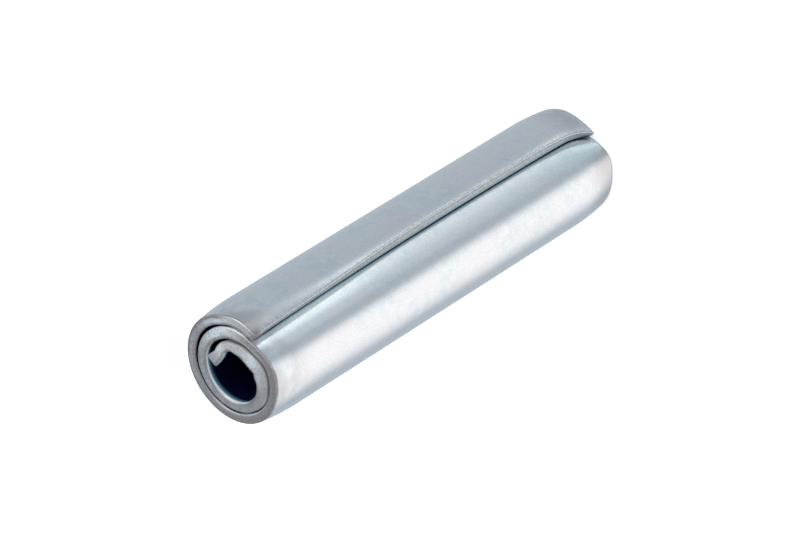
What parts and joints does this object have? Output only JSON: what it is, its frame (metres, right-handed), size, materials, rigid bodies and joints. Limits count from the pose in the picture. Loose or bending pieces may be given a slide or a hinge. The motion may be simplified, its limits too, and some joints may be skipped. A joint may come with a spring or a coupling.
{
  "type": "coiled spring pin",
  "caption": "Zinc-plated coiled spring pin, rolled from one steel strip in a spiral, with swaged ends and a long seam.",
  "frame": {"origin": "on the pin's axis, in the plane of its bottom end face", "axes": "+Z along the pin's axis, up from the end it stands on; +X towards the place where the strip starts to dip in under its own outer end"},
  "size_m": [0.0104, 0.0104, 0.045],
  "materials": {
    "zinc_plated_steel": "satin bright zinc plate, worn darker along the edges"
  },
  "bodies": {
    "root": {"coiled_pin": "zinc_plated_steel"}
  },
  "joints": []
}
